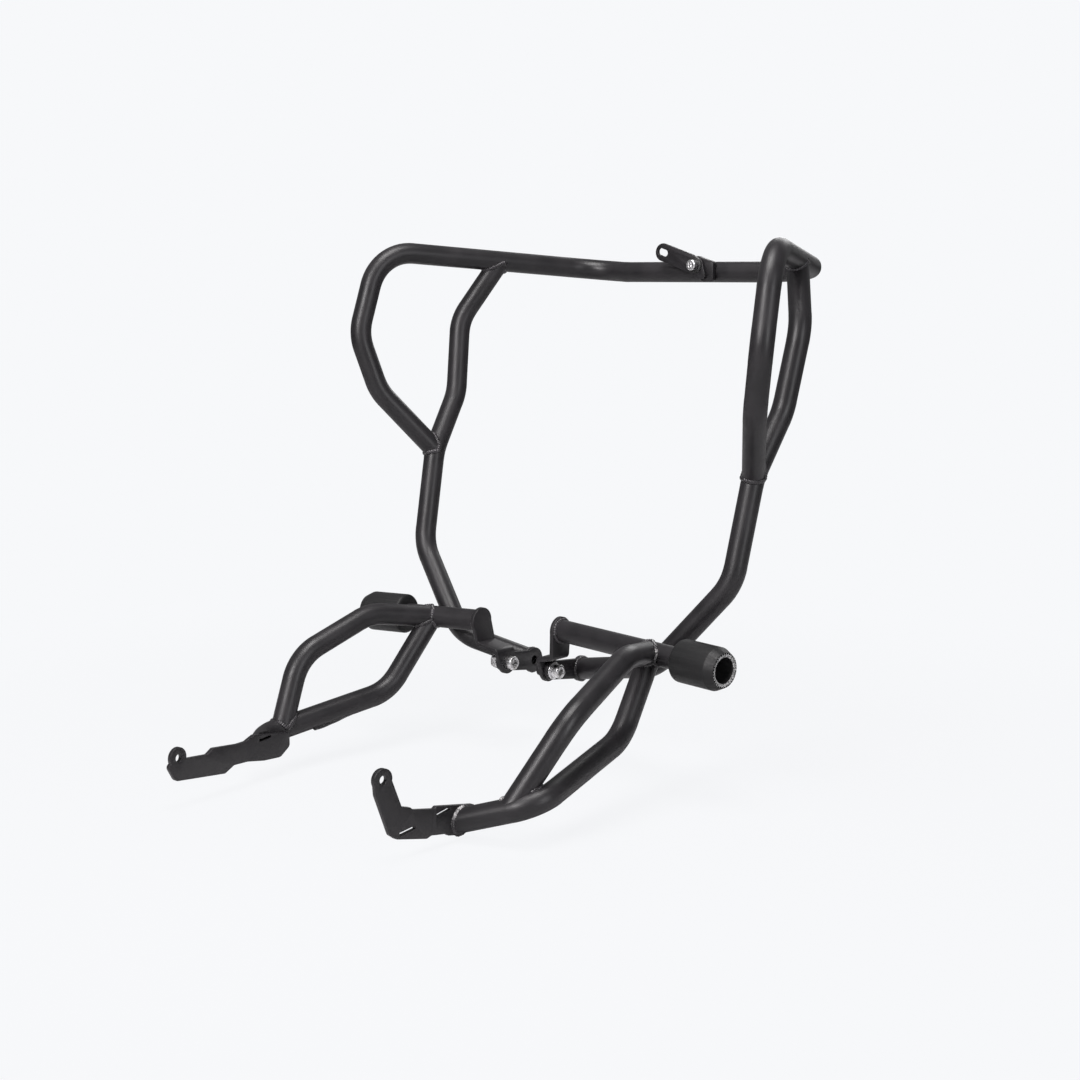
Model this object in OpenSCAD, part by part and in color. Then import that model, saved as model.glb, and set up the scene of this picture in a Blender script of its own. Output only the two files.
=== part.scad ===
// Motorcycle crash bars: a bent-tube upper hoop with two legs, two bolt-on lower guards with
// sliders, and the laser-cut lugs and plates that fasten them to a motorcycle.
// X is across the motorcycle (+X its right side), Y is forward, Z is up. The origin is the middle
// of the engine bolt's axis, halfway between the two engine lugs.

/* [Tubes] */
// Outer diameter of every tube
tube_od = 25.4; // [22:0.2:28]
// Wall of every tube
tube_wall = 2; // [1.5:0.1:3]
// Centreline radius of the two big upper corners
corner_radius = 55; // [45:1:65]
// Centreline radius of all the other bends
bend_radius = 60; // [50:1:70]

/* [Upper hoop] */
// How far the middle of the hoop lies to the right of the engine bolt's middle
hoop_offset = 30; // [10:1:40]
// Height of the crossbar over the engine bolt
crossbar_height = 460; // [440:1:480]
// How far the crossbar lies in front of the engine bolt
crossbar_forward = 238; // [225:1:250]
// Half the straight middle stretch of the crossbar
crossbar_half = 109; // [95:1:115]
// Half the width between the outer corners of the hoop
corner_half_width = 283; // [270:1:300]

/* [Engine lugs] */
// Half the distance between the two lugs' facing sides
lug_half_gap = 34; // [30:1:40]
// Thickness of the lugs and of the folded brackets
lug_thickness = 5; // [4:0.5:6]
// Distance from the engine bolt to the joint bolt
lug_eye_spacing = 54; // [50:1:58]
// Rise from the engine bolt to the joint bolt
lug_eye_rise = 7; // [0:1:10]
// Radius of a lug's front end
lug_eye_radius = 15; // [14.5:0.5:17]
// Radius of a lug's rear end
lug_rear_radius = 11; // [10:0.5:12]
// Hole for an M10 bolt
bolt_hole = 10.5; // [10.2:0.1:11]

/* [Lower guards] */
// Distance from the hoop's middle to the left slider's inner end
left_slider_start = 197; // [190:1:210]
// Distance from the hoop's middle to the right slider's inner end
right_slider_start = 207; // [195:1:215]
// Outer diameter of a slider
slider_od = 47; // [44:1:52]
// Length of a slider
slider_length = 61; // [55:1:70]
// Diameter of the hole in a slider's outer end
slider_recess = 28; // [27:1:30]
// How deep that hole goes
slider_recess_depth = 40; // [30:1:44]
// Width of the left folded bracket from its stub to its tab
left_step = 30; // [26:1:34]
// Width of the right folded bracket from its stub to its tab
right_step = 20; // [16:1:24]

/* [Rear plates] */
// Thickness of the two rear plates
plate_thickness = 5; // [4:0.5:6]
// Angle at which each rear plate is folded inwards
plate_fold = 6; // [2:1:8]
// Hole in each rear plate's ear
plate_hole = 8.5; // [8:0.1:9]
// Where the left plate's inner face lies, to the left of the engine bolt's middle
left_plate_x = 150; // [146:1:153]
// Where the right plate's inner face lies, to the right of the engine bolt's middle
right_plate_x = 150; // [146:1:154]

/* [Crossbar tab] */
// Distance from the tab's bolt to its slot
tab_reach = 51; // [45:1:56]
// Radius of the tab's round ends
tab_end_radius = 11; // [9.5:0.5:12]
// Length of the slot
slot_length = 15; // [12:1:17]
// Width of the slot
slot_width = 8.5; // [7:0.5:9]
// Thickness of the tab
tab_thickness = 4; // [3:0.5:5]
// Thickness of the tapped lug on the crossbar
crossbar_lug_thickness = 6; // [5:0.5:8]

/* [Fasteners] */
// Nominal diameter of the joint and slider bolts
bolt_d = 10; // [9.8:0.1:10]
// Nominal diameter of the tab's bolt
tab_bolt_d = 8; // [7.8:0.1:8]
// Weld bead leg
bead = 2.4; // [1.8:0.1:3]

/* [Hidden] */

$fn = 48;
powder_black = "#242326";
zinc = "#c9ccd1";
worn_steel = "#8f9196";
slider_black = "#161617";
LEFT = -1;
RIGHT = 1;
past = 40; // how far a cutting shape reaches beyond what it cuts
lap = 1; // how far a straight stretch runs into the bend at its end
seam = 0.1; // how much slimmer a straight stretch is than a bend
cope_gap = 0.15; // how far a coped end stays off the tube that it sits on
edge = 0.15; // how far a straight edge lies inside the round end that it meets
tube_r = tube_od/2;
bore_r = tube_r - tube_wall;
cope_r = tube_r + cope_gap;

strut_share = 0.46; // how far along the wing the leg's top sits
tail_share = 0.84; // how far along the left lower tube's long stretch its main tube ends
tail_run = 32; // how far past the right lower tube's last bend point its main tube ends
right_reach = 1.145; // how much further back the right main tube's last bend lies
leg_bottom_radius = 50;
lower_end_radius = 35;
left_lower_end = 60; // how far the left lower tube runs on from its last bend
right_lower_end = 110;
plate_lead = 23; // how far a rear plate reaches in front of the lower tube's last bend point

// Bend points of the tubes. Their first number is the distance from the hoop's middle.
bar_end = [crossbar_half, crossbar_forward, crossbar_height];
wing_front = bar_end + [55, 7, 3];
wing_rear = [corner_half_width, crossbar_forward - 272, crossbar_height + 26];
loop_upper = wing_rear + [7, -30, -101];
loop_lower = wing_rear + [-10, -14, -170];
strut_top = wing_front + (wing_rear - wing_front)*strut_share;
strut_upper = strut_top + [31, -41, -73];
strut_lower = strut_top + [22, -59, -164];
leg_joint = strut_top + [16, -106, -232];
leg_middle = [228, -17, 127];
leg_bottom = [145, -42, 29];

// The stub's axis, and where the guard's two tubes leave it
stub_inner = [60, -61, 55];
stub_dir = [158, -20, -4]/norm([158, -20, -4]);
function on_stub(x) = stub_inner + stub_dir*((x - stub_inner[0])/stub_dir[0]);
main_start = on_stub(161);
main_upper = main_start + [27, -79, 11.5];
main_lower = main_start + [41, -179, -25.5];
lower_start = on_stub(162);
lower_front = lower_start + [10, -67, -81];
lower_rear = lower_start + [41, -238, -106];

// The joint bolt's place, the same on both sides
joint_y = -lug_eye_spacing;
joint_z = lug_eye_rise;

// Fasteners
head_r = 8;
head_h = bolt_d;
hex_key = 8;
key_depth = 5;
nut_flats = 17;
nut_h = 8;
washer_r = 10;
washer_h = 2;
thread_past_nut = 2;
weld_nut_r = 7.5;
weld_nut_h = 6;
thread_r = bolt_d/2;

// Folded brackets
tongue_r = tube_r + 3.3;
bracket_eye_r = 13.5;
shelf_half = 15;
shelf_gap = 1.3;
shelf_slope = 0.18;
fold_r = 1.2;
lug_taper = 3;
shelf_back = 4;

// Slider details
slider_neck_hole_r = bolt_d/2 + 0.5;
slider_edge = 4;
slider_cone = 10.5;
slider_ring_w = 4.5;
plug_length = 28;
slider_washer_r = 12;
slider_bolt_reach = 24;

// The tab on the crossbar
tab_bolt_x = 42;
tab_bolt_z = crossbar_height + 8.5;
tab_slope = 18;
tab_foot = [16, -17];
tab_head_r = 6.5;
tab_head_h = 8;
tab_key = 6;
tab_washer_r = 10;
tab_washer_h = 2;
crossbar_front = crossbar_forward - tube_r;
crossbar_lug_w = 24;

function unit(v) = v/norm(v);
function turn(a, b, c) = acos(unit(b - a)*unit(c - b));
function setback(a, b, c, r) = r*tan(turn(a, b, c)/2);

// An outline with each corner rounded: points are [x, y, radius]
function corner_arc(a, b, c, r) =
    let (u = unit(a - b), w = unit(c - b), half = acos(u*w)/2,
         centre = b + unit(u + w)*r/sin(half), from = b + u*r/tan(half) - centre,
         sweep = 180 - 2*half, side = sign(u[0]*w[1] - u[1]*w[0]), steps = 6)
    [for (i = [0:steps]) let (t = -side*sweep*i/steps)
        centre + [from[0]*cos(t) - from[1]*sin(t), from[0]*sin(t) + from[1]*cos(t)]];
function flat(p) = [p[0], p[1]];
function rounded(pts) = [for (i = [0:len(pts) - 1])
    let (p = pts[i], a = pts[(i + len(pts) - 1)%len(pts)], c = pts[(i + 1)%len(pts)])
    each p[2] > 0 ? corner_arc(flat(a), flat(p), flat(c), p[2]) : [flat(p)]];

// Puts a point that is measured from the hoop's middle on one side of the motorcycle
function placed(p, side) = [hoop_offset + side*p[0], p[1], p[2]];
function all_placed(pts, side) = [for (p = pts) placed(p, side)];

module rod(a, b, r) {
    d = b - a;
    translate(a) rotate([0, acos(d[2]/norm(d)), atan2(d[1], d[0])]) cylinder(h = norm(d), r = r);
}

module elbow(a, b, c, bend, r) {
    u = unit(a - b);
    w = unit(c - b);
    angle = turn(a, b, c);
    centre = b + unit(u + w)*bend/cos(angle/2);
    e1 = unit(b + u*bend*tan(angle/2) - centre);
    e2 = -u;
    e3 = cross(e1, e2);
    multmatrix([[e1[0], e2[0], e3[0], centre[0]],
                [e1[1], e2[1], e3[1], centre[1]],
                [e1[2], e2[2], e3[2], centre[2]]])
        rotate_extrude(angle = angle) translate([bend, 0]) circle(r = r);
}

// A bent bar along points, with bends[i] the bend radius at point i
module bent_bar(pts, bends, r) {
    last = len(pts) - 1;
    for (i = [0:last - 1]) {
        d = unit(pts[i + 1] - pts[i]);
        s0 = i == 0 ? 0 : setback(pts[i - 1], pts[i], pts[i + 1], bends[i]) - lap;
        s1 = i + 1 == last ? 0 : setback(pts[i], pts[i + 1], pts[i + 2], bends[i + 1]) - lap;
        rod(pts[i] + d*s0, pts[i + 1] - d*s1, r - seam);
    }
    for (i = [1:last - 1]) elbow(pts[i - 1], pts[i], pts[i + 1], bends[i], r);
}

// The same points with both ends one millimetre further out
function longer(pts) = let (last = len(pts) - 1) [for (i = [0:last])
    pts[i] + (i == 0 ? unit(pts[0] - pts[1]) : i == last ? unit(pts[i] - pts[i - 1]) : [0, 0, 0])];

// A bent tube: the bore runs out past both ends, and the children are cut away from it
module bent_tube(pts, bends) {
    difference() {
        bent_bar(pts, bends, tube_r);
        bent_bar(longer(pts), bends, bore_r);
        children();
    }
}

hoop_pts = concat(
    all_placed([leg_joint, loop_lower, loop_upper, wing_rear, wing_front, bar_end], LEFT),
    all_placed([bar_end, wing_front, wing_rear, loop_upper, loop_lower, leg_joint], RIGHT));
big = corner_radius;
small = bend_radius;
hoop_bends = [0, small, small, big, big, small, small, big, big, small, small, 0];

// The end of a leg lies on the engine bolt's axis, against the outer face of its lug
function lug_face(side) = side*(lug_half_gap + lug_thickness);
function leg_end(side) = [lug_face(side), 0, 0];
function leg_way(side) = unit(leg_end(side) - placed(leg_bottom, side));
function leg_pts(side) = concat(
    all_placed([strut_top, strut_upper, strut_lower, leg_joint, leg_middle, leg_bottom], side),
    [leg_end(side) + leg_way(side)*tube_od]);
leg_bends = [0, small, small, small, small, leg_bottom_radius, 0];

module leg_bar(side, r) { bent_bar(leg_pts(side), leg_bends, r); }

// A slab square to X, from x outwards on one side, for cutting a tube's end
module slab(x, side) {
    translate([side > 0 ? x - past : x, -past, -past]) cube([past, 2*past, 2*past]);
}

module hoop_tube() {
    color(powder_black) bent_tube(hoop_pts, hoop_bends) {
        leg_bar(LEFT, cope_r);
        leg_bar(RIGHT, cope_r);
    }
}

// The strut's top is coped round the hoop, without the hoop's own end at the lower joint
module wing_bar(side, r) {
    rod(placed(wing_front, side), placed(wing_rear, side), r - seam);
}

module leg_tube(side) {
    color(powder_black) bent_tube(leg_pts(side), leg_bends) {
        wing_bar(side, cope_r);
        slab(lug_face(side), side);
    }
}

module across(side, x, y, z) { translate([side*x, y, z]) rotate([0, 90*side, 0]) children(); }

// An outline in the plane of Y and Z made a sheet, from x outwards on one side
module side_sheet(side, x, t) {
    translate([side*x - (side < 0 ? t : 0), 0, 0]) rotate([90, 0, 90]) linear_extrude(t) children();
}

module engine_lug(side) {
    t = lug_thickness;
    front_half = lug_eye_radius - lug_taper;
    rear_half = lug_rear_radius - edge;
    color(powder_black) difference() {
        union() {
            across(side, lug_half_gap, 0, 0) cylinder(h = t, r = lug_eye_radius);
            across(side, lug_half_gap, joint_y, joint_z) cylinder(h = t, r = lug_rear_radius);
            side_sheet(side, lug_half_gap, t) polygon([[0, -front_half], [0, front_half],
                [joint_y, joint_z + rear_half], [joint_y, joint_z - rear_half]]);
        }
        for (e = [[0, 0], [joint_y, joint_z]])
            across(side, lug_half_gap - 1, e[0], e[1]) cylinder(h = t + 2, d = bolt_hole);
    }
}

module weld_nut(side) {
    color(worn_steel) across(side, lug_face(RIGHT), 0, 0) difference() {
        cylinder(h = weld_nut_h, r = weld_nut_r);
        translate([0, 0, -1]) cylinder(h = weld_nut_h + 2, r = thread_r);
    }
}

// Tapped lug on the back of the crossbar, coped to sit on the tube
module crossbar_lug() {
    t = crossbar_lug_thickness;
    r = tab_end_radius;
    color(powder_black) difference() {
        at_tab_bolt(crossbar_front + 2) {
            cylinder(h = t + 2, r = r);
            linear_extrude(t + 2) polygon(rounded([[0, -r, 0], [1, r - 0.5, 0],
                [crossbar_lug_w, 4, 4], [crossbar_lug_w, -20, 3], [8, -20, 3]]));
        }
        at_tab_bolt(crossbar_front + 3) cylinder(h = t + 4, r = tab_bolt_d/2);
        rod(placed(bar_end, LEFT), placed(bar_end, RIGHT), tube_r - seam);
    }
}

tab_back = crossbar_front - crossbar_lug_thickness;

// Stands Z up along the tab bolt's axis, rearwards, with Y up
module at_tab_bolt(y) { translate([tab_bolt_x, y, tab_bolt_z]) rotate([90, 0, 0]) children(); }

// An outline point given along the tab's slope from its bolt, with its rounding
function sloped(p, r) = [p[0]*cos(tab_slope) + p[1]*sin(tab_slope),
    p[1]*cos(tab_slope) - p[0]*sin(tab_slope), r];

module slotted_tab() {
    r = tab_end_radius;
    t = tab_thickness;
    slot_half = (slot_length - slot_width)/2;
    far = -tab_reach - r;
    outline = rounded([sloped([far, -r], r - 0.1), sloped([far, r], r - 0.1), sloped([-8, r], 12),
        [10, 6, 9], [tab_foot[0], tab_foot[1], 4], [tab_foot[0] - 12, tab_foot[1], 6],
        sloped([-6, -r], 8)]);
    color(powder_black) at_tab_bolt(tab_back) difference() {
        linear_extrude(t) polygon(outline);
        translate([0, 0, -1]) cylinder(h = t + 2, r = tab_bolt_d/2 + 0.2);
        rotate(-tab_slope) translate([-tab_reach, 0, -1]) {
            translate([-slot_half, edge - slot_width/2, 0]) cube([2*slot_half, slot_width - 2*edge, t + 2]);
            for (s = [-1, 1]) translate([s*slot_half, 0, 0]) cylinder(h = t + 2, d = slot_width);
        }
    }
}

module tab_washer() {
    color(powder_black) at_tab_bolt(tab_back - tab_thickness) difference() {
        cylinder(h = tab_washer_h, r = tab_washer_r);
        translate([0, 0, -1]) cylinder(h = tab_washer_h + 2, r = tab_bolt_d/2 + 0.2);
    }
}

// A socket-head bolt whose head stands on Z = 0 and whose shank goes down
module socket_bolt(shank_r, shank, cap_r, cap_h, key, socket) {
    difference() {
        union() {
            translate([0, 0, -shank]) cylinder(h = shank, r = shank_r);
            cylinder(h = cap_h - 0.8, r = cap_r);
            translate([0, 0, cap_h - 0.8]) cylinder(h = 0.8, r1 = cap_r, r2 = cap_r - 0.8);
        }
        translate([0, 0, cap_h - socket]) cylinder(h = socket + 1, d = key/cos(30), $fn = 6);
    }
}

module tab_bolt() {
    shank = tab_washer_h + tab_thickness + crossbar_lug_thickness;
    color(zinc) at_tab_bolt(tab_back - tab_thickness - tab_washer_h)
        socket_bolt(tab_bolt_d/2, shank, tab_head_r, tab_head_h, tab_key, tab_head_h/2);
}

// Where each stub's inner end lies: its bracket's tongue, one step outside the tab
function step(side) = side < 0 ? left_step : right_step;
function tongue_x(side) = lug_half_gap - lug_thickness + step(side);
function stub_end_half(side) = tongue_x(side) + lug_thickness - side*hoop_offset;
function stub_foot(side) = placed(on_stub(stub_end_half(side)), side);
function stub_tip(side) = placed(on_stub(side < 0 ? left_slider_start : right_slider_start), side);
function stub_way(side) = unit(stub_tip(side) - stub_foot(side));

module stub_bar(side, r) { rod(stub_foot(side) - stub_way(side)*tube_r, stub_tip(side), r); }

module stub_tube(side) {
    color(powder_black) difference() {
        stub_bar(side, tube_r);
        rod(stub_foot(side) - stub_way(side)*2*tube_r, stub_tip(side) + stub_way(side), bore_r);
        translate([side*(tongue_x(side) + lug_thickness) - (side > 0 ? past : 0),
            stub_foot(side)[1] - past, stub_foot(side)[2] - past]) cube([past, 2*past, 2*past]);
    }
}

// The left lower tube turns in at once behind its plate, the right one runs on inwards
function plate_outer(side) = side*((side < 0 ? left_plate_x : right_plate_x) + plate_thickness);
function lower_way(side) = side < 0 ? unit([-33, -24, -4]) : unit([-62, -21, -20]);
function lower_length(side) = side < 0 ? left_lower_end : right_lower_end;
function lower_pts(side) = all_placed([lower_start, lower_front, lower_rear,
    lower_rear + lower_way(side)*lower_length(side)], side);
lower_bends = [0, small, lower_end_radius, 0];

// The left main tube ends on the lower tube's long stretch, the right one past its last bend
function main_low(side) = side < 0 ? main_lower : main_upper + (main_lower - main_upper)*right_reach;
function main_end(side) = side < 0 ? lower_front + (lower_rear - lower_front)*tail_share
    : lower_rear + lower_way(side)*tail_run;
function main_pts(side) = all_placed([main_start, main_upper, main_low(side), main_end(side)], side);
main_bends = [0, small, small, 0];

// The lower tube's part behind the middle of its long stretch, with the bend there
module lower_tail(side, r) {
    p = lower_pts(side);
    bent_bar([(p[1] + p[2])/2, p[2], p[3]], [0, lower_bends[2], 0], r);
}

module main_tube(side) {
    color(powder_black) bent_tube(main_pts(side), main_bends) {
        stub_bar(side, cope_r);
        lower_tail(side, cope_r);
    }
}

// Everything on the inner side of a rear plate's outer face, behind the plate's front edge
module inside_plate(side) {
    translate([side > 0 ? plate_outer(side) - 2*past : plate_outer(side),
        lower_rear[1] + plate_lead - 3*past, lower_rear[2] - 2*past]) cube([2*past, 3*past, 4*past]);
}

module lower_tube(side) {
    color(powder_black) bent_tube(lower_pts(side), lower_bends) {
        stub_bar(side, cope_r);
        main_rod(side, cope_r);
        inside_plate(side);
    }
}

// A sheet folded twice, tongue to shelf to tab, cut to its outline as seen along X
module bracket(side) {
    t = lug_thickness;
    foot = stub_foot(side);
    tab_in = lug_half_gap - t;
    tongue_in = tongue_x(side);
    shelf_low = joint_z + lug_rear_radius + shelf_gap + t;
    shelf_high = shelf_low + step(side)*shelf_slope;
    shelf_y = joint_y - shelf_back;
    profile = rounded([[tongue_in, foot[2] + past, 0], [tongue_in + t, foot[2] + past, 0],
        [tongue_in + t, shelf_high - t, t + fold_r], [tab_in + t, shelf_low - t, fold_r],
        [tab_in + t, joint_z - past, 0], [tab_in, joint_z - past, 0],
        [tab_in, shelf_low, t + fold_r], [tongue_in, shelf_high, fold_r]]);
    outline = [[foot[1] - tongue_r + edge, foot[2]], [foot[1] + tongue_r - edge, foot[2]],
        [shelf_y + shelf_half, shelf_high], [shelf_y + shelf_half, shelf_low - t],
        [joint_y + bracket_eye_r - edge, joint_z], [joint_y - bracket_eye_r + edge, joint_z],
        [shelf_y - shelf_half, shelf_low - t], [shelf_y - shelf_half, shelf_high]];
    color(powder_black) difference() {
        intersection() {
            translate([0, past, 0]) rotate([90, 0, 0]) linear_extrude(4*past)
                polygon([for (p = profile) [side*p[0], p[1]]]);
            union() {
                across(side, 0, foot[1], foot[2]) cylinder(h = 3*past, r = tongue_r);
                across(side, 0, joint_y, joint_z) cylinder(h = 3*past, r = bracket_eye_r);
                side_sheet(side, 0, 3*past) polygon(outline);
            }
        }
        across(side, tab_in - 1, joint_y, joint_z) cylinder(h = t + 2, d = bolt_hole);
    }
}

// Both joint bolts go in from the right: the left one's head is inboard, the right one's outboard
module joint_bolt(side) {
    grip = 2*lug_thickness + washer_h + nut_h + thread_past_nut;
    head_x = side < 0 ? lug_thickness - lug_half_gap : lug_face(RIGHT) + washer_h;
    color(zinc) translate([head_x, joint_y, joint_z])
        rotate([0, 90, 0]) socket_bolt(thread_r, grip, head_r, head_h, hex_key, key_depth);
}

module joint_washer(side) {
    color(zinc) across(side, lug_face(RIGHT), joint_y, joint_z) difference() {
        cylinder(h = washer_h, r = washer_r);
        translate([0, 0, -1]) cylinder(h = washer_h + 2, r = thread_r + 0.25);
    }
}

module joint_nut(side) {
    nut_x = side < 0 ? lug_face(LEFT) - washer_h : lug_half_gap - lug_thickness;
    color(side < 0 ? zinc : powder_black) translate([nut_x, joint_y, joint_z])
        rotate([0, -90, 0]) difference() {
        intersection() {
            cylinder(h = nut_h, d = nut_flats/cos(30), $fn = 6);
            cylinder(h = nut_h, r1 = nut_flats/2 + nut_h*0.7, r2 = nut_flats/2 + 0.4);
        }
        translate([0, 0, -1]) cylinder(h = nut_h + 2, r = thread_r);
    }
}

// Stands Z up along a stub's axis, outwards, at its outer end
module at_tip(side) {
    d = stub_way(side);
    translate(stub_tip(side)) rotate([0, acos(d[2]), atan2(d[1], d[0])]) children();
}

module stub_plug(side) {
    color(worn_steel) at_tip(side) difference() {
        translate([0, 0, -plug_length]) cylinder(h = plug_length, r = bore_r);
        translate([0, 0, -plug_length - 1]) cylinder(h = plug_length + 2, r = thread_r);
    }
}

seat = slider_length - slider_recess_depth;

module slider(side) {
    r = slider_od/2;
    hole = slider_recess/2;
    color(slider_black) at_tip(side) rotate_extrude() polygon(rounded([
        [slider_neck_hole_r, 0, 0], [r, 0, slider_edge], [r, slider_length - slider_cone, 2],
        [hole + slider_ring_w, slider_length, 1], [hole, slider_length - 1.5, 0],
        [hole, seat, 0], [slider_neck_hole_r, seat, 0]]));
}

module slider_washer(side) {
    color(zinc) at_tip(side) translate([0, 0, seat]) difference() {
        cylinder(h = washer_h, r = slider_washer_r);
        translate([0, 0, -1]) cylinder(h = washer_h + 2, r = thread_r + 0.25);
    }
}

module slider_bolt(side) {
    color(zinc) at_tip(side) translate([0, 0, seat + washer_h])
        socket_bolt(thread_r, seat + washer_h + slider_bolt_reach, head_r, head_h, hex_key, key_depth);
}

// A sheet square to X that folds inwards behind fold_y, cut to an outline as seen along X,
// with a round ear and its hole, and narrow slots given as [y, z, turn, length, width]
module rear_plate(side, x, fold_y, outline, ear, ear_r, slots) {
    t = plate_thickness;
    back = 3*past;
    in_0 = side*x;
    out_0 = side*(x + t);
    fold_shift = t*tan(plate_fold/2);
    shift = side*back*tan(plate_fold);
    color(powder_black) difference() {
        intersection() {
            translate([0, 0, -3*past]) linear_extrude(4*past) polygon([
                [in_0, fold_y + back], [out_0, fold_y + back], [out_0, fold_y - fold_shift/2],
                [out_0 - shift, fold_y - fold_shift/2 - back],
                [in_0 - shift, fold_y + fold_shift/2 - back], [in_0, fold_y + fold_shift/2]]);
            union() {
                across(side, x - past, ear[0], ear[1]) cylinder(h = 2*past, r = ear_r);
                side_sheet(side, x - past, 2*past) polygon(rounded(outline));
            }
        }
        translate([side*(x + t/2 - (fold_y - ear[0])*tan(plate_fold)), ear[0], ear[1]])
            rotate([0, 90, -side*plate_fold]) cylinder(h = 4*t, d = plate_hole, center = true);
        for (s = slots) translate([side*x, s[0], s[1]]) rotate([s[2], 0, 0])
            cube([past, s[3], s[4]], center = true);
    }
}

module left_rear_plate() {
    rear_plate(LEFT, left_plate_x, -350,
        [[-289, -50, 3], [-289, -66, 6], [-303, -76, 8], [-327, -75, 0],
        [-351, -71, 6], [-372, -70, 5], [-386, -76, 6], [-459, -67, 8], [-469, -50, 4],
        [-459, -43, 0], [-443, -46, 2], [-412, -49, 3], [-403, -44, 4], [-366, -48, 0],
        [-353, -48, 4], [-341, -43, 4]],
        [-454, -43], 11.5, [[-325, -50, 6, 17, 2.6]]);
}

module right_rear_plate() {
    rear_plate(RIGHT, right_plate_x, -375,
        [[-317, -67, 3], [-333, -95, 7], [-357, -90, 0], [-362, -87, 3],
        [-381, -84, 3], [-387, -86, 3], [-425, -78, 8], [-433, -72, 4], [-449, -30, 8],
        [-450, -17, 0], [-430, -17, 0], [-418, -47, 2], [-407, -50, 2], [-404, -53, 2],
        [-377, -58, 1], [-374, -56, 2]],
        [-440, -16], 11, [[-364, -64, 9, 20, 3.4], [-411, -72.5, 9, 20, 3.4]]);
}

// The stretches that the beads run round
module strut_rod(side, r) { rod(placed(strut_top, side), placed(strut_upper, side), r); }
module loop_rod(side, r) { rod(placed(loop_lower, side), placed(leg_joint, side), r); }
module leg_at_joint(side, r) {
    bent_bar([placed((strut_lower + leg_joint)/2, side), placed(leg_joint, side),
        placed((leg_joint + leg_middle)/2, side)], [0, small, 0], r);
}
module leg_foot(side, r) {
    rod(leg_end(side) - leg_way(side)*tube_od, leg_end(side) + leg_way(side)*tube_od, r);
}
module main_rod(side, r) { rod(main_pts(side)[0], main_pts(side)[1], r); }
module lower_rod(side, r) { rod(lower_pts(side)[0], lower_pts(side)[1], r); }
module main_tail(side, r) { rod(main_pts(side)[2], main_pts(side)[3], r); }
module plate_rod(side, r) { rod(lower_pts(side)[2], lower_pts(side)[3], r); }

grown = tube_r + bead;
slack = 0.3; // how much further a bead reaches up one of its two tubes

// The bead round a strut's coped top, under the wing of the hoop
module strut_bead(side) {
    difference() {
        intersection() {
            strut_rod(side, grown);
            wing_bar(side, grown + slack);
        }
        wing_bar(side, tube_r);
        strut_rod(side, tube_r + seam);
    }
}

// The bead round the loop's coped end, at the leg's bend
module loop_bead(side) {
    difference() {
        intersection() {
            loop_rod(side, grown);
            leg_at_joint(side, grown);
        }
        leg_at_joint(side, tube_r);
        loop_rod(side, tube_r + seam);
    }
}

// The bead round a leg's end, on the outer face of its lug
module leg_end_bead(side) {
    difference() {
        across(side, lug_face(RIGHT), 0, 0) cylinder(h = bead, r = lug_eye_radius - slack);
        leg_foot(side, tube_r);
    }
}

module frame_welds() {
    color(powder_black) for (side = [LEFT, RIGHT]) {
        strut_bead(side);
        loop_bead(side);
        leg_end_bead(side);
    }
}

// The bead round the lower tube's foot on the stub, up to the main tube
module lower_bead(side) {
    difference() {
        intersection() {
            lower_rod(side, grown - slack);
            stub_bar(side, grown + slack);
        }
        stub_bar(side, tube_r);
        lower_rod(side, tube_r + seam);
        main_rod(side, tube_r);
    }
}

// The bead round the main tube's foot on the stub, up to the lower tube's bead
module main_bead(side) {
    difference() {
        intersection() {
            main_rod(side, grown);
            stub_bar(side, grown + slack);
        }
        stub_bar(side, tube_r);
        main_rod(side, tube_r + seam);
        lower_rod(side, grown + slack);
    }
}

// The bead round the main tube's rear end, on the lower tube
module tail_bead(side) {
    difference() {
        intersection() {
            main_tail(side, grown - slack);
            lower_tail(side, grown + slack);
        }
        lower_tail(side, tube_r);
        main_tail(side, tube_r + seam);
        inside_plate(side);
    }
}

// The bead round a stub's inner end, on its bracket's tongue
module stub_bead(side) {
    x = tongue_x(side) + lug_thickness;
    difference() {
        across(side, x, stub_foot(side)[1], stub_foot(side)[2])
            cylinder(h = bead, r1 = tube_r + 2, r2 = tube_r + 0.8);
        stub_bar(side, tube_r);
    }
}

// The bead round the lower tube's end, on its rear plate
module plate_bead(side) {
    x = plate_outer(side);
    difference() {
        intersection() {
            plate_rod(side, grown);
            translate([side > 0 ? x : x - bead, lower_rear[1] - 2*past, lower_rear[2] - 2*past])
                cube([bead, 4*past, 4*past]);
        }
        lower_tail(side, tube_r);
    }
}

module guard_welds(side) {
    color(powder_black) {
        lower_bead(side);
        main_bead(side);
        tail_bead(side);
        stub_bead(side);
        plate_bead(side);
    }
}

hoop_tube();
leg_tube(LEFT);  // left_leg_tube
leg_tube(RIGHT);  // right_leg_tube
engine_lug(LEFT);  // left_engine_lug
engine_lug(RIGHT);  // right_engine_lug
weld_nut(LEFT);  // left_weld_nut
weld_nut(RIGHT);  // right_weld_nut
crossbar_lug();
slotted_tab();
tab_washer();
tab_bolt();
stub_tube(LEFT);  // left_stub_tube
stub_tube(RIGHT);  // right_stub_tube
main_tube(LEFT);  // left_main_tube
main_tube(RIGHT);  // right_main_tube
lower_tube(LEFT);  // left_lower_tube
lower_tube(RIGHT);  // right_lower_tube
bracket(LEFT);  // left_bracket
bracket(RIGHT);  // right_bracket
left_rear_plate();
right_rear_plate();
joint_bolt(LEFT);  // left_joint_bolt
joint_bolt(RIGHT);  // right_joint_bolt
joint_washer(LEFT);  // left_joint_washer
joint_washer(RIGHT);  // right_joint_washer
joint_nut(LEFT);  // left_joint_nut
joint_nut(RIGHT);  // right_joint_nut
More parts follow.
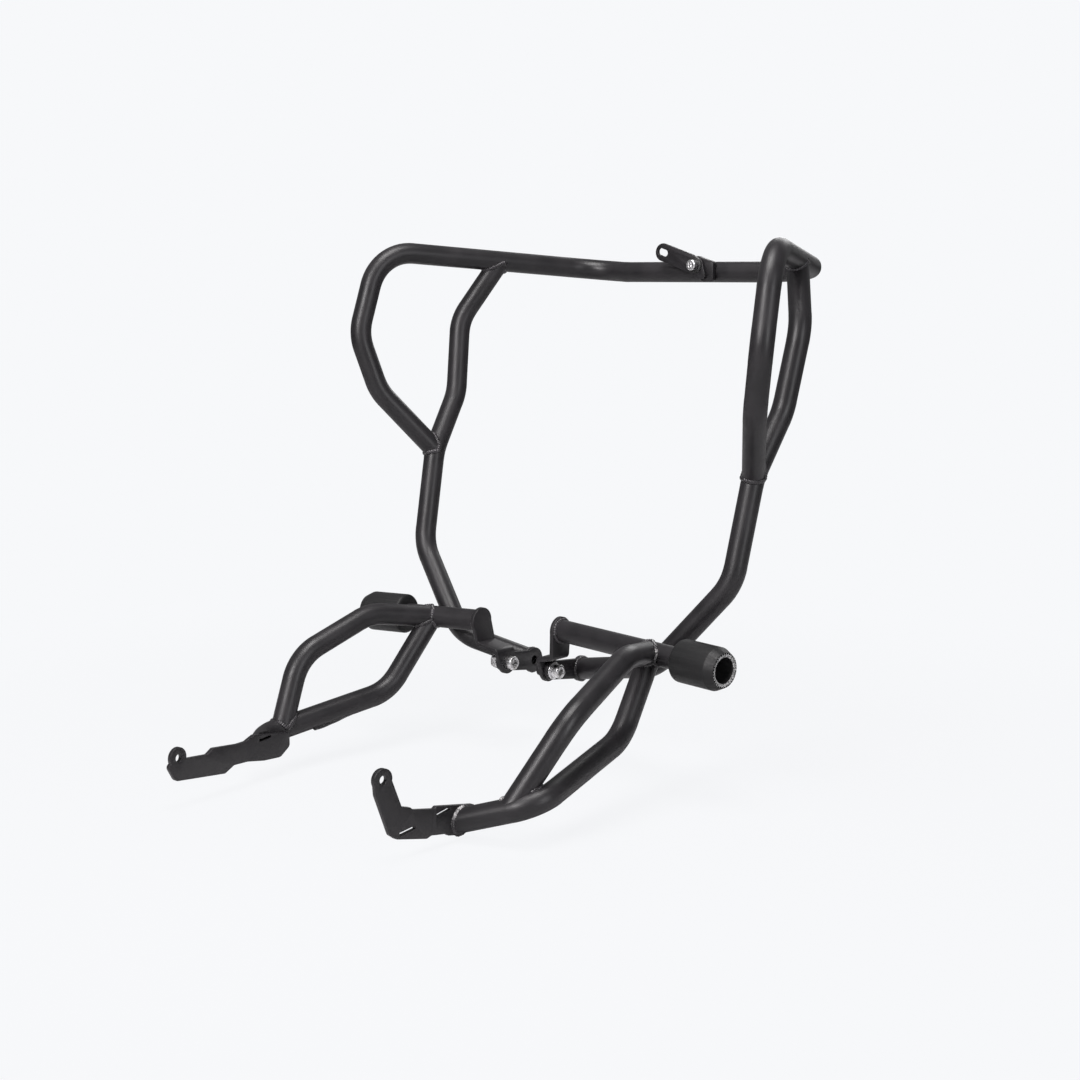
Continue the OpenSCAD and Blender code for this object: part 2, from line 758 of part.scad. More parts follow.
stub_plug(LEFT);  // left_stub_plug
stub_plug(RIGHT);  // right_stub_plug
slider(LEFT);  // left_slider
slider(RIGHT);  // right_slider
slider_washer(LEFT);  // left_slider_washer
slider_washer(RIGHT);  // right_slider_washer
slider_bolt(LEFT);  // left_slider_bolt
slider_bolt(RIGHT);  // right_slider_bolt
frame_welds();
guard_welds(LEFT);  // left_guard_welds
guard_welds(RIGHT);  // right_guard_welds
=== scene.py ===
from math import cos, pi, radians, sin, tan

import bpy
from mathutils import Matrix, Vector, kdtree


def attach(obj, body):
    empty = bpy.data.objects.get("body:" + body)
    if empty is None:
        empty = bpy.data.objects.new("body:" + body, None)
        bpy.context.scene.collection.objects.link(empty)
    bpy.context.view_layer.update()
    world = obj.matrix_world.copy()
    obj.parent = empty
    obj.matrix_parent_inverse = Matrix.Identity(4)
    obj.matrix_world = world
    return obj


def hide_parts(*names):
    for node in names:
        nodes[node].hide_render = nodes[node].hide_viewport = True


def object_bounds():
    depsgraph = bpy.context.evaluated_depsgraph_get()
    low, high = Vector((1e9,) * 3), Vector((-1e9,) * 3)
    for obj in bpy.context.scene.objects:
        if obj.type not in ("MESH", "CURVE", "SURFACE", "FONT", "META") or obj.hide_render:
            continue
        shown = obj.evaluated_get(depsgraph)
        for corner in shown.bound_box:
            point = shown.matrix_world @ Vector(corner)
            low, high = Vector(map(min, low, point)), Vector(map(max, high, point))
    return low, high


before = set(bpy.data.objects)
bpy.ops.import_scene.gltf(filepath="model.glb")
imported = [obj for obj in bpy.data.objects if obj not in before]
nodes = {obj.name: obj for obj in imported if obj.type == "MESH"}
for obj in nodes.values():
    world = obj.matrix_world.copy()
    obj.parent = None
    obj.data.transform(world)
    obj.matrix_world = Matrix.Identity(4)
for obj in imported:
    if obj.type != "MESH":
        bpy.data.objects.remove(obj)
cad_low, cad_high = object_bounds()


# The camera stands behind the right guard and looks forward and a little down, as the
# photograph does, and sees the whole set from about two metres.
PHOTO_SIZE = 1080
FOCAL_PIXELS = 1768.1
CAMERA_PLACE = (1.2990, -1.5909, 0.4578)
LOOKS_DOWN, LOOKS_LEFT = 8.561, 39.780

camera_data = bpy.data.cameras.new("camera")
camera_data.sensor_width = 36.0
camera_data.lens = camera_data.sensor_width * FOCAL_PIXELS / PHOTO_SIZE
camera = bpy.data.objects.new("camera", camera_data)
camera.location = CAMERA_PLACE
camera.rotation_euler = (radians(90.0 - LOOKS_DOWN), 0.0, radians(LOOKS_LEFT))
bpy.context.scene.collection.objects.link(camera)
bpy.context.scene.camera = camera


# The studio: a pale floor under the set and a pale room round it, with a soft box overhead, one
# on each side of the camera and one behind the set. The floor's faint shadow fades out away from
# the set, and what is glossy mirrors a share of the pale room.
PALE = (0.9301, 0.9387, 0.9560, 1.0)
FLOOR_DROP = 0.004
FLOOR_REACH = 30.0
SHADOW_SHARE = 0.06
SHADOW_FADES = (0.35, 1.1)
ROOM_LIGHT = 0.07
ROOM_TINT = (1.0, 0.985, 0.975, 1.0)
FLOOR_GREY = (0.6, 0.6, 0.61, 1.0)
MIRRORED_SHARE = 0.22
MIDDLE = (0.03, -0.1, 0.2)

bpy.context.scene.view_settings.view_transform = "Standard"
world = bpy.data.worlds.new("studio")
bpy.context.scene.world = world
world.use_nodes = True
room = world.node_tree
room.nodes.clear()
rays = room.nodes.new("ShaderNodeLightPath")
seen = room.nodes.new("ShaderNodeMath")
seen.operation = "MAXIMUM"
room.links.new(rays.outputs["Is Camera Ray"], seen.inputs[0])
room.links.new(rays.outputs["Is Transmission Ray"], seen.inputs[1])
mirrored = room.nodes.new("ShaderNodeMath")
mirrored.operation = "MULTIPLY"
mirrored.inputs[1].default_value = MIRRORED_SHARE
room.links.new(rays.outputs["Is Glossy Ray"], mirrored.inputs[0])
shows = room.nodes.new("ShaderNodeMath")
shows.operation = "MAXIMUM"
room.links.new(seen.outputs[0], shows.inputs[0])
room.links.new(mirrored.outputs[0], shows.inputs[1])
shown = room.nodes.new("ShaderNodeBackground")
shown.inputs["Color"].default_value = PALE
light = room.nodes.new("ShaderNodeBackground")
light.inputs["Color"].default_value = ROOM_TINT
light.inputs["Strength"].default_value = ROOM_LIGHT
either = room.nodes.new("ShaderNodeMixShader")
room.links.new(shows.outputs[0], either.inputs["Fac"])
room.links.new(light.outputs[0], either.inputs[1])
room.links.new(shown.outputs[0], either.inputs[2])
room_out = room.nodes.new("ShaderNodeOutputWorld")
room.links.new(either.outputs[0], room_out.inputs["Surface"])

bpy.ops.object.select_all(action="DESELECT")
bpy.ops.mesh.primitive_plane_add(size=2 * FLOOR_REACH, location=(0, 0, cad_low.z - FLOOR_DROP))
floor = bpy.context.object
floor.name = "floor"
floor_paint = bpy.data.materials.new("pale_floor")
floor_paint.use_nodes = True
tree = floor_paint.node_tree
tree.nodes.clear()
rays = tree.nodes.new("ShaderNodeLightPath")
glow = tree.nodes.new("ShaderNodeEmission")
glow.inputs["Color"].default_value = PALE
matt = tree.nodes.new("ShaderNodeBsdfDiffuse")
matt.inputs["Color"].default_value = FLOOR_GREY
place = tree.nodes.new("ShaderNodeTexCoord")
away = tree.nodes.new("ShaderNodeVectorMath")
away.operation = "DISTANCE"
away.inputs[1].default_value = (MIDDLE[0], MIDDLE[1], 0.0)
tree.links.new(place.outputs["Object"], away.inputs[0])
fade = tree.nodes.new("ShaderNodeMapRange")
fade.interpolation_type = "SMOOTHSTEP"
for socket, number in (("From Min", SHADOW_FADES[0]), ("From Max", SHADOW_FADES[1]),
                       ("To Min", 1.0 - SHADOW_SHARE), ("To Max", 1.0)):
    fade.inputs[socket].default_value = number
tree.links.new(away.outputs["Value"], fade.inputs["Value"])
share = tree.nodes.new("ShaderNodeMath")
share.operation = "MULTIPLY"
tree.links.new(fade.outputs["Result"], share.inputs[1])
tree.links.new(rays.outputs["Is Camera Ray"], share.inputs[0])
blend = tree.nodes.new("ShaderNodeMixShader")
tree.links.new(share.outputs[0], blend.inputs["Fac"])
tree.links.new(matt.outputs[0], blend.inputs[1])
tree.links.new(glow.outputs[0], blend.inputs[2])
floor_out = tree.nodes.new("ShaderNodeOutputMaterial")
tree.links.new(blend.outputs[0], floor_out.inputs["Surface"])
floor.data.materials.append(floor_paint)


def soft_box(name, place, width, height, watts, tint):
    lamp = bpy.data.lights.new(name, "AREA")
    lamp.shape = "RECTANGLE"
    lamp.size, lamp.size_y = width, height
    lamp.energy = watts
    lamp.color = tint
    box = bpy.data.objects.new(name, lamp)
    box.location = place
    box.rotation_euler = (Vector(MIDDLE) - Vector(place)).to_track_quat("-Z", "Y").to_euler()
    bpy.context.scene.collection.objects.link(box)


soft_box("top_box", (0.2, -0.5, 2.3), 1.1, 1.1, 50.0, (1.0, 0.98, 0.98))
soft_box("front_box", (0.1, -2.6, 1.6), 0.8, 1.3, 72.0, (1.0, 0.97, 0.98))
soft_box("right_box", (2.5, -0.5, 0.9), 0.5, 1.5, 20.0, (0.98, 0.98, 1.0))
soft_box("back_box", (-0.6, 2.2, 1.4), 1.2, 0.8, 14.0, (1.0, 1.0, 1.0))


# The tubes: the bent hoop, its two legs, the stubs and the guards' bent tubes. They are steel
# with a satin black powder coat, which shows the fine pebble of the powder and lies a little
# thicker here and there.
POWDER_BLACK = (0.0080, 0.0074, 0.0086)
POWDER_WARM = (0.0140, 0.0126, 0.0144)
CLOUD_SCALE = 28.0
FLOW_SCALE = 260.0
PEBBLE_SCALE = 900.0


def finish_named(name, color, roughness, metallic, specular):
    made = bpy.data.materials.new(name)
    made.use_nodes = True
    shader = made.node_tree.nodes["Principled BSDF"]
    shader.inputs["Base Color"].default_value = (*color, 1.0)
    shader.inputs["Roughness"].default_value = roughness
    shader.inputs["Metallic"].default_value = metallic
    shader.inputs["Specular IOR Level"].default_value = specular
    return made, shader


def grain(tree, scale, detail):
    place = tree.nodes.get("place") or tree.nodes.new("ShaderNodeTexCoord")
    place.name = "place"
    made = tree.nodes.new("ShaderNodeTexNoise")
    made.inputs["Scale"].default_value = scale
    made.inputs["Detail"].default_value = detail
    tree.links.new(place.outputs["Object"], made.inputs["Vector"])
    return made.outputs["Fac"]


def spread(tree, value, low, high, least, most):
    made = tree.nodes.new("ShaderNodeMapRange")
    for socket, number in (("From Min", low), ("From Max", high), ("To Min", least), ("To Max", most)):
        made.inputs[socket].default_value = number
    tree.links.new(value, made.inputs["Value"])
    return made.outputs["Result"]


def relief(tree, height, distance, strength, under=None):
    made = tree.nodes.new("ShaderNodeBump")
    made.inputs["Distance"].default_value = distance
    made.inputs["Strength"].default_value = strength
    tree.links.new(height, made.inputs["Height"])
    if under:
        tree.links.new(under, made.inputs["Normal"])
    return made.outputs["Normal"]


def two_tone(tree, factor, dark, pale):
    made = tree.nodes.new("ShaderNodeMix")
    made.data_type = "RGBA"
    for socket, color in (("A", dark), ("B", pale)):
        paint = next(s for s in made.inputs if s.name == socket and s.type == "RGBA")
        paint.default_value = (*color, 1.0)
    tree.links.new(factor, made.inputs[0])
    return next(s for s in made.outputs if s.type == "RGBA")


powder, shader = finish_named("black_powder_coat", POWDER_BLACK, 0.42, 0.0, 0.40)
tree = powder.node_tree
cloud = grain(tree, CLOUD_SCALE, 3.0)
thick = spread(tree, cloud, 0.35, 0.65, 0.0, 1.0)
tree.links.new(two_tone(tree, thick, POWDER_BLACK, POWDER_WARM), shader.inputs["Base Color"])
tree.links.new(spread(tree, cloud, 0.3, 0.7, 0.37, 0.46), shader.inputs["Roughness"])
flow = relief(tree, grain(tree, FLOW_SCALE, 1.0), 0.00025, 0.35)
pebble = relief(tree, grain(tree, PEBBLE_SCALE, 2.0), 0.00012, 0.45, flow)
tree.links.new(pebble, shader.inputs["Normal"])


def coat(name, material):
    nodes[name].data.materials.clear()
    nodes[name].data.materials.append(material)


for name in nodes:
    if name.endswith("_tube"):
        coat(name, powder)


# The lugs, folded brackets, rear plates, crossbar lug and slotted tab: cut from sheet with a
# laser, tumbled so that no edge is sharp, and coated with the tubes.
EDGE_ROUND = 0.00045
SAME_PLACE = 0.00002
FLAT_WITHIN = radians(1.0)
SHARP_FROM = radians(35.0)


def alone(piece):
    bpy.ops.object.select_all(action="DESELECT")
    piece.select_set(True)
    bpy.context.view_layer.objects.active = piece


def soften(piece, width, steps=2):
    alone(piece)
    rounding = piece.modifiers.new("soft_edge", "BEVEL")
    rounding.width = width
    rounding.segments = steps
    rounding.limit_method = "ANGLE"
    rounding.angle_limit = SHARP_FROM
    rounding.use_clamp_overlap = False
    bpy.ops.object.modifier_apply(modifier=rounding.name)
    bpy.ops.object.shade_smooth_by_angle(angle=SHARP_FROM)


def edged(name, suffix, width, material):
    """A copy of a solid with its flat faces whole again and its edges rounded."""
    piece = bpy.data.objects.new(name + suffix, nodes[name].data.copy())
    bpy.context.scene.collection.objects.link(piece)
    alone(piece)
    bpy.ops.object.mode_set(mode="EDIT")
    bpy.ops.mesh.select_all(action="SELECT")
    bpy.ops.mesh.remove_doubles(threshold=SAME_PLACE)
    bpy.ops.mesh.dissolve_limited(angle_limit=FLAT_WITHIN)
    bpy.ops.object.mode_set(mode="OBJECT")
    soften(piece, width)
    piece.data.materials.clear()
    piece.data.materials.append(material)
    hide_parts(name)
    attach(piece, "root")
    return piece


for name in ("left_engine_lug", "right_engine_lug", "left_bracket", "right_bracket",
             "left_rear_plate", "right_rear_plate", "crossbar_lug", "slotted_tab"):
    edged(name, "_cut_sheet", EDGE_ROUND, powder)


# The weld beads: laid by hand round every joint, one small pool after the other, so each bead
# is a ring of overlapping ripples. They were coated with the tubes, and stay shinier. In three
# places on the right guard a pale patch is painted on the bead: a painted highlight for a glint,
# coloured as bare weld where the coat is rubbed off.
MM = 0.001
TUBE = 12.7 * MM
HOOP_MIDDLE = 30.0
WING_FRONT, WING_REAR = Vector((164, 245, 463)), Vector((283, -34, 486))
LOOP_LOWER = Vector((273, -48, 316))
STRUT_SHARE = 0.46
STRUT_TOP = WING_FRONT.lerp(WING_REAR, STRUT_SHARE)
STRUT_UPPER, STRUT_LOWER = STRUT_TOP + Vector((31, -41, -73)), STRUT_TOP + Vector((22, -59, -164))
LEG_JOINT = STRUT_TOP + Vector((16, -106, -232))
LEG_MIDDLE, LEG_BOTTOM = Vector((228, -17, 127)), Vector((145, -42, 29))
STUB_INNER, STUB_WAY = Vector((60, -61, 55)), Vector((158, -20, -4))
MAIN_ALONG, LOWER_ALONG, STUB_ENDS = 101, 102, 137
MAIN_START = STUB_INNER + STUB_WAY * (MAIN_ALONG / STUB_WAY.x)
LOWER_START = STUB_INNER + STUB_WAY * (LOWER_ALONG / STUB_WAY.x)
STUB_OUTER = STUB_INNER + STUB_WAY * (STUB_ENDS / STUB_WAY.x)
MAIN_UPPER, MAIN_LOWER = MAIN_START + Vector((27, -79, 11.5)), MAIN_START + Vector((41, -179, -25.5))
RIGHT_REACH, RIGHT_TAIL_RUN, LEFT_TAIL_SHARE = 1.145, 32, 0.84
RIGHT_MAIN_LOWER = MAIN_UPPER + (MAIN_LOWER - MAIN_UPPER) * RIGHT_REACH
LOWER_FRONT, LOWER_REAR = LOWER_START + Vector((10, -67, -81)), LOWER_START + Vector((41, -238, -106))
LEFT_LOWER_WAY = Vector((-33, -24, -4)).normalized()
RIGHT_LOWER_WAY = Vector((-62, -21, -20)).normalized()
LEFT_MAIN_END = LOWER_FRONT.lerp(LOWER_REAR, LEFT_TAIL_SHARE)
RIGHT_MAIN_END = LOWER_REAR + RIGHT_LOWER_WAY * RIGHT_TAIL_RUN
LEFT_LOWER_RUN, RIGHT_LOWER_RUN = 60, 110
PLATE_FACE = 155.0 * MM
LEFT_TONGUE, RIGHT_TONGUE = 64 * MM, 54 * MM
LEG_BEND, LOWER_BEND = 60 * MM, 35 * MM
LUG_FACE = 39.0 * MM
BEAD_HALF_WIDTH = 3.0 * MM
BEAD_HEIGHT = 2.2 * MM
RIPPLE_LENGTH = 2.4 * MM
RIPPLE_DEPTH = 0.26
RIPPLE_LEAN = 0.4
WANDER_WIDE, WANDER_FINE = 0.07, 0.05
SEAM_POINTS = 72
SEAM_OVERRUN = 70
STEPS_PER_RIPPLE = 7
ROUND_STEPS = 10
# Three spots on the right guard's beads that get a painted highlight: a pale glint coloured as bare
# weld.
WORN_GLINT_SPOTS = (((0.1556, -0.3454, -0.0661), 0.011), ((0.1965, -0.3279, -0.0535), 0.007),
              ((0.2103, -0.0900, 0.0561), 0.007))
WORN_GLINT_CORE = 0.55
POOL_SCALE, PATCH_SCALE = 140.0, 420.0
BARE_WELD_GLINT = (0.42, 0.41, 0.41)
BEAD_PALE = (0.030, 0.027, 0.031)


def placed(point, side):
    return Vector((HOOP_MIDDLE + side * point.x, point.y, point.z)) * MM


def tube_line(points, bend=0.0):
    """The middle line of a tube, as points a millimetre apart, with an arc at an inner point."""
    corners = [points[0]]
    for before, at, after in zip(points, points[1:], points[2:]):
        into, out = (before - at).normalized(), (after - at).normalized()
        half = into.angle(out) / 2
        centre = at + (into + out).normalized() * bend / sin(half)
        start, end = at + into * bend / tan(half) - centre, at + out * bend / tan(half) - centre
        count = max(4, int(bend * (pi - 2 * half) / MM))
        corners += [centre + start.slerp(end, k / count).normalized() * bend for k in range(count + 1)]
    corners.append(points[-1])
    line = []
    for a, b in zip(corners, corners[1:]):
        count = max(1, round((b - a).length / MM))
        line += [a.lerp(b, k / count) for k in range(count)]
    return line + [corners[-1]]


def round_skin(line):
    """How far a point is from a tube's skin, and which way the skin faces there."""
    middle = kdtree.KDTree(len(line))
    for k, point in enumerate(line):
        middle.insert(point, k)
    middle.balance()

    def skin(point):
        centre, _, away = middle.find(point)
        return away - TUBE, (point - centre).normalized()
    return skin


def flat_skin(face, side):
    return lambda point: (side * point.x - face, Vector((side, 0, 0)))


def nearest_skin(*skins):
    return lambda point: min((skin(point) for skin in skins), key=lambda found: found[0])


def seam(line, skin):
    """Where the skin of a tube that runs along line meets the other skin, all the way round."""
    way = (line[-1] - line[-2]).normalized()
    line = line + [line[-1] + way * k * MM for k in range(1, SEAM_OVERRUN)]
    way = (line[1] - line[0]).normalized()
    side = way.orthogonal().normalized()
    rings = []
    for k, point in enumerate(line):
        way = (line[min(k + 1, len(line) - 1)] - line[max(k - 1, 0)]).normalized()
        side = (side - way * side.dot(way)).normalized()
        rings.append((point, side.copy(), way.cross(side)))
    found = []
    for n in range(SEAM_POINTS):
        turn = 2 * pi * n / SEAM_POINTS
        last = None
        for point, u, v in rings:
            out = u * cos(turn) + v * sin(turn)
            at = point + out * TUBE
            away = skin(at)[0]
            if away < 0 and last:
                at = last[0].lerp(at, last[1] / (last[1] - away))
                found.append((at, (out + skin(at)[1]).normalized()))
                break
            last = (at, away)
    return found


def lay_bead(found):
    """A closed ring of ripples along a seam."""
    count = len(found)
    reach = [0.0]
    for n in range(count):
        reach.append(reach[-1] + (found[(n + 1) % count][0] - found[n][0]).length)
    ripples = round(reach[-1] / RIPPLE_LENGTH)
    rings = ripples * STEPS_PER_RIPPLE
    bpy.ops.object.select_all(action="DESELECT")
    bpy.ops.mesh.primitive_torus_add(major_segments=rings, minor_segments=ROUND_STEPS,
                                     major_radius=2 * TUBE, minor_radius=BEAD_HEIGHT)
    bead = bpy.context.object
    spots, n = [], 0
    for i in range(rings):
        run = reach[-1] * i / rings
        while reach[n + 1] < run:
            n += 1
        part = (run - reach[n]) / (reach[n + 1] - reach[n])
        (a, out_a), (b, out_b) = found[n], found[(n + 1) % count]
        out = out_a.lerp(out_b, part).normalized()
        along = (b - a).normalized()
        across = along.cross(out).normalized()
        wander = (1 + WANDER_WIDE * sin(5 * 2 * pi * i / rings)
                  + WANDER_FINE * sin(13 * 2 * pi * i / rings))
        for j in range(ROUND_STEPS):
            turn = 2 * pi * j / ROUND_STEPS
            crest = abs(sin(pi * (ripples * i / rings + RIPPLE_LEAN * sin(turn))))
            swell = wander * (1 - RIPPLE_DEPTH + RIPPLE_DEPTH * crest)
            spots.append(a.lerp(b, part) + (out * sin(turn) * BEAD_HEIGHT
                                            + across * cos(turn) * BEAD_HALF_WIDTH) * swell)
    bead.data.vertices.foreach_set("co", [c for spot in spots for c in spot])
    return bead


def bead_group(name, node, beads):
    for bead in beads:
        bead.location = (0, 0, 0)
    alone(beads[0])
    for bead in beads:
        bead.select_set(True)
    bpy.ops.object.join()
    piece = bpy.context.object
    piece.name = name
    bpy.ops.object.mode_set(mode="EDIT")
    bpy.ops.mesh.select_all(action="SELECT")
    bpy.ops.mesh.normals_make_consistent(inside=False)
    bpy.ops.object.mode_set(mode="OBJECT")
    bpy.ops.object.shade_smooth()
    piece.data.materials.clear()
    piece.data.materials.append(bead_coat)
    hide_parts(node)
    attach(piece, "root")


bead_coat, shader = finish_named("coated_bead", POWDER_WARM, 0.32, 0.0, 0.5)
tree = bead_coat.node_tree
pool = grain(tree, POOL_SCALE, 2.0)
# Painted highlight: round each spot a pale patch stands for a glint on the bead, coloured as bare weld
# under a rubbed-off coat.
worn_glint = None
for spot, reach in WORN_GLINT_SPOTS:
    off = tree.nodes.new("ShaderNodeVectorMath")
    off.operation = "DISTANCE"
    off.inputs[1].default_value = spot
    tree.links.new(tree.nodes["place"].outputs["Object"], off.inputs[0])
    rubbed = spread(tree, off.outputs["Value"], WORN_GLINT_CORE * reach, reach, 1.0, 0.0)
    if worn_glint:
        joined = tree.nodes.new("ShaderNodeMath")
        joined.operation = "MAXIMUM"
        tree.links.new(worn_glint, joined.inputs[0])
        tree.links.new(rubbed, joined.inputs[1])
        rubbed = joined.outputs[0]
    worn_glint = rubbed
patchy_glint = tree.nodes.new("ShaderNodeMath")
patchy_glint.operation = "MULTIPLY"
tree.links.new(worn_glint, patchy_glint.inputs[0])
patches = grain(tree, PATCH_SCALE, 3.0)
tree.links.new(spread(tree, patches, 0.40, 0.55, 0.15, 1.0), patchy_glint.inputs[1])
coated = two_tone(tree, spread(tree, pool, 0.4, 0.6, 0.0, 1.0), POWDER_WARM, BEAD_PALE)
glint_over_coat = tree.nodes.new("ShaderNodeMix")
glint_over_coat.data_type = "RGBA"
tree.links.new(patchy_glint.outputs[0], glint_over_coat.inputs[0])
paints = [socket for socket in glint_over_coat.inputs if socket.type == "RGBA"]
tree.links.new(coated, paints[0])
paints[1].default_value = (*BARE_WELD_GLINT, 1.0)
painted = next(socket for socket in glint_over_coat.outputs if socket.type == "RGBA")
tree.links.new(painted, shader.inputs["Base Color"])
tree.links.new(spread(tree, pool, 0.3, 0.7, 0.26, 0.40), shader.inputs["Roughness"])
tree.links.new(relief(tree, grain(tree, PEBBLE_SCALE, 2.0), 0.0001, 0.4), shader.inputs["Normal"])

frame_beads = []
for side in (-1, 1):
    wing = round_skin(tube_line([placed(WING_FRONT, side), placed(WING_REAR, side)]))
    strut = tube_line([placed(STRUT_UPPER, side), placed(STRUT_TOP, side)])
    frame_beads.append(lay_bead(seam(strut, wing)))
    leg = round_skin(tube_line([placed(STRUT_LOWER, side), placed(LEG_JOINT, side),
                                placed(LEG_MIDDLE, side)], LEG_BEND))
    loop = tube_line([placed(LOOP_LOWER, side), placed(LEG_JOINT, side)])
    frame_beads.append(lay_bead(seam(loop, leg)))
    lug = Vector((side * LUG_FACE, 0, 0))
    foot = placed(LEG_BOTTOM, side)
    foot = tube_line([foot, lug + (lug - foot).normalized() * 2 * TUBE])
    frame_beads.append(lay_bead(seam(foot, flat_skin(LUG_FACE, side))))
bead_group("frame_weld_beads", "frame_welds", frame_beads)

for side, word, tongue, main_lower, main_end, lower_end in (
        (-1, "left", LEFT_TONGUE, MAIN_LOWER, LEFT_MAIN_END,
         LOWER_REAR + LEFT_LOWER_WAY * LEFT_LOWER_RUN),
        (1, "right", RIGHT_TONGUE, RIGHT_MAIN_LOWER, RIGHT_MAIN_END,
         LOWER_REAR + RIGHT_LOWER_WAY * RIGHT_LOWER_RUN)):
    inner, outer = placed(STUB_INNER, side), placed(STUB_OUTER, side)
    inner = inner + (inner - outer).normalized() * 2 * TUBE
    stub_line = tube_line([outer, inner])
    stub = round_skin(stub_line)
    main_foot = tube_line([placed(MAIN_UPPER, side), placed(MAIN_START, side)])
    lower_foot = tube_line([placed(LOWER_FRONT, side), placed(LOWER_START, side)])
    tail = tube_line([placed(main_lower, side), placed(main_end, side)])
    lower_line = tube_line([placed(LOWER_FRONT, side), placed(LOWER_REAR, side),
                            placed(lower_end, side)], LOWER_BEND)
    bead_group(word + "_guard_weld_beads", word + "_guard_welds", [
        lay_bead(seam(lower_foot, nearest_skin(stub, round_skin(main_foot)))),
        lay_bead(seam(main_foot, nearest_skin(stub, round_skin(lower_foot)))),
        lay_bead(seam(tail, round_skin(lower_line))),
        lay_bead(seam(stub_line, flat_skin(tongue, side))),
        lay_bead(seam(lower_line, flat_skin(PLATE_FACE, side)))])


# The weld nuts in the legs' ends and the threaded plugs in the stubs: turned from bar, bare.
TURNED_SCALE = 1100.0

steel, shader = finish_named("bare_steel", (0.42, 0.42, 0.43), 0.42, 1.0, 0.5)
tree = steel.node_tree
turned = grain(tree, TURNED_SCALE, 2.0)
tree.links.new(spread(tree, turned, 0.3, 0.7, 0.34, 0.52), shader.inputs["Roughness"])
tree.links.new(relief(tree, turned, 0.00004, 0.4), shader.inputs["Normal"])
for name in ("left_weld_nut", "right_weld_nut", "left_stub_plug", "right_stub_plug"):
    coat(name, steel)


# The fasteners: socket-head screws with their washers and nuts, bright zinc with the light
# marks of the tools. The screw on the crossbar clamps a black washer, and the right joint's nut
# was coated with the bars.
FASTENER_EDGE = 0.00025
PLATED_SCALE, SMEAR_SCALE, BLUED_SCALE = 1500.0, 300.0, 700.0
ZINC_BRIGHT, ZINC_DULL = (0.78, 0.78, 0.79), (0.50, 0.49, 0.48)

zinc, shader = finish_named("zinc_fasteners", (0.74, 0.74, 0.75), 0.26, 1.0, 0.5)
tree = zinc.node_tree
plated = grain(tree, PLATED_SCALE, 3.0)
smear = grain(tree, SMEAR_SCALE, 2.0)
smeared = two_tone(tree, spread(tree, smear, 0.45, 0.65, 0.0, 1.0), ZINC_BRIGHT, ZINC_DULL)
tree.links.new(smeared, shader.inputs["Base Color"])
tree.links.new(spread(tree, smear, 0.3, 0.7, 0.20, 0.38), shader.inputs["Roughness"])
tree.links.new(relief(tree, plated, 0.00005, 0.5), shader.inputs["Normal"])
for name in ("left_joint_bolt", "right_joint_bolt", "left_joint_washer", "right_joint_washer",
             "left_joint_nut", "tab_bolt", "left_slider_bolt", "right_slider_bolt",
             "left_slider_washer", "right_slider_washer"):
    edged(name, "_plated", FASTENER_EDGE, zinc)
edged("right_joint_nut", "_coated", FASTENER_EDGE, powder)

oxide, shader = finish_named("black_washer", (0.012, 0.012, 0.012), 0.38, 0.0, 0.5)
tree = oxide.node_tree
blued = grain(tree, BLUED_SCALE, 2.0)
tree.links.new(spread(tree, blued, 0.3, 0.7, 0.32, 0.46), shader.inputs["Roughness"])
edged("tab_washer", "_blued", FASTENER_EDGE, oxide)


# The sliders: turned from black nylon, with a satin skin. The round edge of each mouth has a ring
# of small notches, and its flat face is worn pale.
SLIDER_LENGTH = 61.0 * MM
NOTCH_RADIUS = 17.9 * MM
NOTCH_SIZE = 1.0 * MM
NOTCH_DEPTH = 2.2 * MM
NOTCHES = 36
LEFT_START, RIGHT_START = 197, 207
SKIN_SCALE, SCUFF_SCALE = 500.0, 900.0
SCUFF_DARK, SCUFF_PALE = (0.04, 0.04, 0.04), (0.55, 0.55, 0.55)

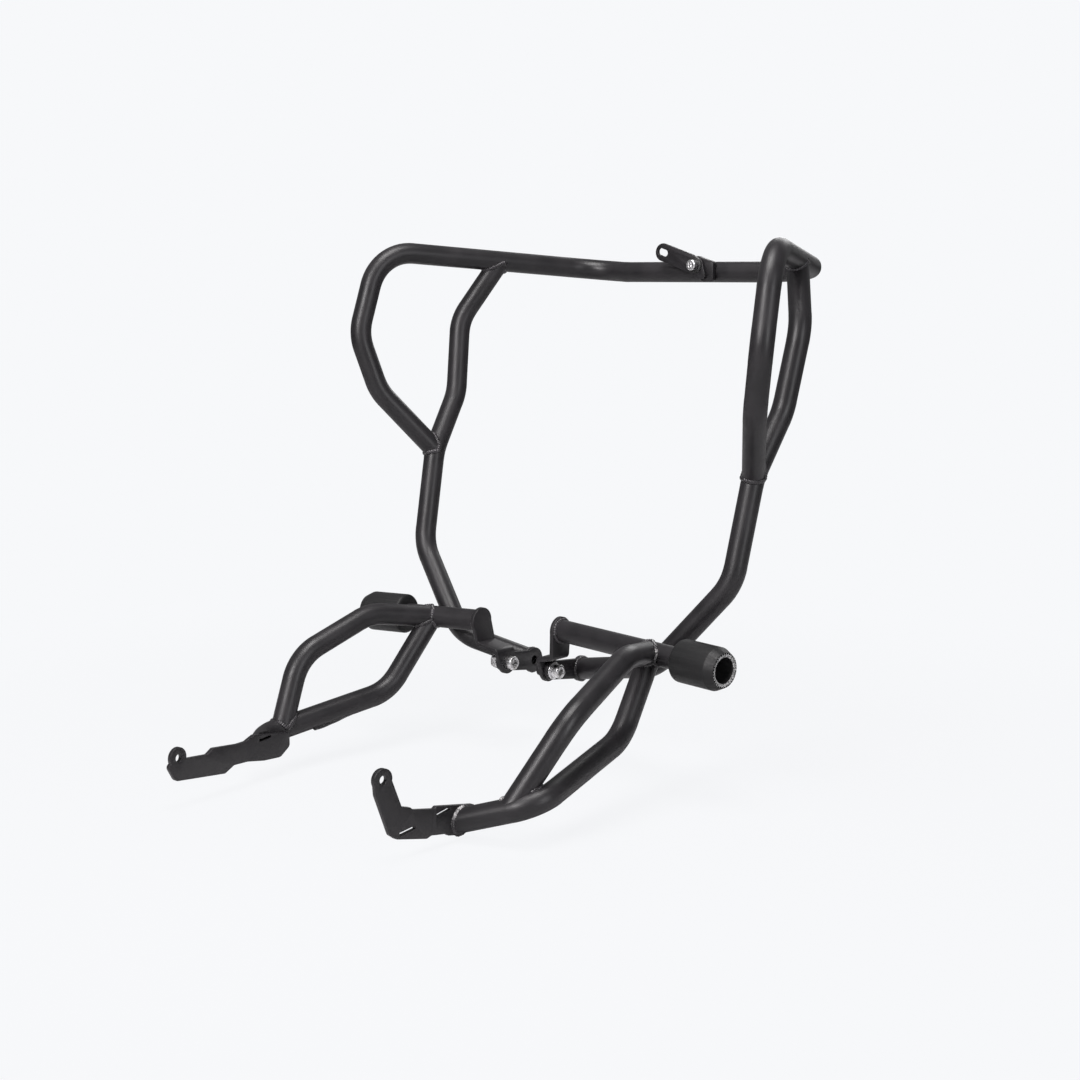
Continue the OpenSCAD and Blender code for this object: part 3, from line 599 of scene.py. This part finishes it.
nylon, shader = finish_named("slider_plastic", (0.0075, 0.0075, 0.0080), 0.50, 0.0, 0.35)
tree = nylon.node_tree
skin_grain = grain(tree, SKIN_SCALE, 2.0)
tree.links.new(spread(tree, skin_grain, 0.3, 0.7, 0.44, 0.58), shader.inputs["Roughness"])
tree.links.new(relief(tree, skin_grain, 0.00006, 0.5), shader.inputs["Normal"])

scuffed, shader = finish_named("worn_nylon", (0.20, 0.20, 0.20), 0.6, 0.0, 0.4)
tree = scuffed.node_tree
scuff = grain(tree, SCUFF_SCALE, 4.0)
rubbed = two_tone(tree, spread(tree, scuff, 0.42, 0.60, 0.0, 1.0), SCUFF_DARK, SCUFF_PALE)
tree.links.new(rubbed, shader.inputs["Base Color"])
tree.links.new(relief(tree, scuff, 0.00015, 0.6), shader.inputs["Normal"])

for side, word, start in ((-1, "left", LEFT_START), (1, "right", RIGHT_START)):
    slider = edged(word + "_slider", "_turned", FASTENER_EDGE, nylon)
    way = Vector((side * STUB_WAY.x, STUB_WAY.y, STUB_WAY.z)).normalized()
    seat = STUB_INNER + STUB_WAY * ((start - STUB_INNER.x) / STUB_WAY.x)
    mouth = placed(seat, side) + way * SLIDER_LENGTH
    turn = way.to_track_quat("Z", "Y")
    cutters = []
    for n in range(NOTCHES):
        around = 2 * pi * n / NOTCHES
        spot = turn @ Vector((cos(around), sin(around), 0)) * NOTCH_RADIUS
        bpy.ops.mesh.primitive_cylinder_add(vertices=8, radius=NOTCH_SIZE, depth=2 * NOTCH_DEPTH,
                                            location=mouth + spot, rotation=turn.to_euler())
        cutters.append(bpy.context.object)
    alone(cutters[0])
    for cutter in cutters:
        cutter.select_set(True)
    bpy.ops.object.join()
    cutter = bpy.context.object
    alone(slider)
    cut = slider.modifiers.new("notches", "BOOLEAN")
    cut.object = cutter
    cut.operation = "DIFFERENCE"
    cut.solver = "EXACT"
    bpy.ops.object.modifier_apply(modifier=cut.name)
    bpy.data.objects.remove(cutter)
    slider.data.materials.append(scuffed)
    for face in slider.data.polygons:
        if face.normal.dot(way) > 0.9 and (face.center - mouth).length < NOTCH_RADIUS + MM:
            face.material_index = 1 if (face.center - mouth).dot(way) > -MM else 0
    bpy.ops.object.shade_smooth_by_angle(angle=SHARP_FROM)
